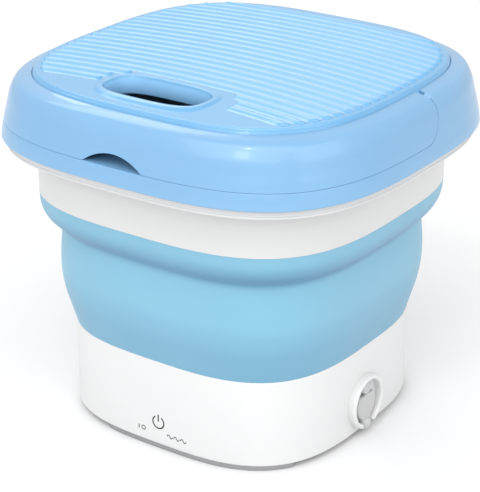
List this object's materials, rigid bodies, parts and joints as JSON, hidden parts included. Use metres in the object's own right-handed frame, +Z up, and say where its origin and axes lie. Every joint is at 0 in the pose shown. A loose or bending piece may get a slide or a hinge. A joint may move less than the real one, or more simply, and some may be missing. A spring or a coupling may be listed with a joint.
{
  "type": "portable mini washer",
  "caption": "Collapsible countertop mini washer: motor base, silicone bellows tub, blue rim with swing-up handle, washboard lid with grip slot, and a side drain flap.",
  "frame": {"origin": "centre of the footprint, on the plane the feet stand on", "axes": "+Z up; -Y is the front face with the touch control; +X is the side with the drain"},
  "size_m": [0.282, 0.282, 0.2471],
  "materials": {
    "rim_blue": "glossy sky-blue moulding",
    "bellows_blue": "satin blue silicone",
    "shell_white": "glossy white moulding",
    "grey_plastic": "matte",
    "pale_silicone": "matte translucent grey",
    "steel": "zinc plated",
    "bronze": "sintered bronze",
    "foot_rubber": "matte grey",
    "black_rubber": "matte black",
    "circuit_board": "green solder mask",
    "nylon": "natural",
    "black_plastic": "matte black",
    "clear_lens": "clear moulded lens"
  },
  "bodies": {
    "base": {"base_shell": "shell_white", "bottom_cover": "grey_plastic", "foot_rails": "foot_rubber", "cover_screws": "steel", "tub_basin": "shell_white", "bellows": "bellows_blue", "bearing_bushes": "bronze", "shaft_seal": "black_rubber", "drive_belt": "black_rubber", "motor_can": "steel", "motor_bracket": "steel", "bracket_screws": "steel", "motor_screws": "steel", "control_board": "circuit_board", "board_screws": "steel", "touch_pad": "circuit_board", "dc_jack": "black_plastic", "uv_lens": "clear_lens", "uv_board": "circuit_board", "drain_elbow": "grey_plastic", "drain_bezel": "shell_white", "drain_anchor": "pale_silicone"},
    "pulsator": {"pulsator": "shell_white", "pulsator_screw": "steel", "drive_shaft": "steel", "circlip": "steel", "driven_pulley": "nylon"},
    "motor_rotor": {"motor_pulley": "nylon", "motor_shaft": "steel"},
    "drain_flap": {"drain_flap": "pale_silicone"},
    "upper": {"collar": "shell_white", "rim_frame": "rim_blue", "rim_screws": "steel", "pivot_pins": "steel"},
    "handle": {"handle": "rim_blue"},
    "lid": {"lid_panel": "rim_blue"}
  },
  "joints": [
    {"name": "collapse", "type": "slide", "parent": "base", "child": "upper", "axis": [0, 0, 1], "range_m": [-0.084, 0], "deforming": ["bellows"]},
    {"name": "handle_swing", "type": "hinge", "parent": "upper", "child": "handle", "pos_m": [0, 0.0015, 0.2295], "axis": [-1, 0, 0], "range_deg": [0, 95]},
    {"name": "lid_lift", "type": "slide", "parent": "upper", "child": "lid", "axis": [0, 0, 1], "range_m": [0, 0.009]},
    {"name": "drain_flap_hinge", "type": "hinge", "parent": "base", "child": "drain_flap", "pos_m": [0.1052, -0.005, 0.0302], "axis": [0, -1, 0], "range_deg": [0, 100]},
    {"name": "pulsator_spin", "type": "hinge", "parent": "base", "child": "pulsator", "pos_m": [0, 0, 0.037], "axis": [0, 0, 1], "continuous": true},
    {"name": "motor_spin", "type": "hinge", "parent": "base", "child": "motor_rotor", "pos_m": [-0.058, 0, 0.0115], "axis": [0, 0, 1], "continuous": true}
  ],
  "couplings": [
    {"joint": "motor_spin", "follows": "pulsator_spin", "ratio": 4}
  ]
}
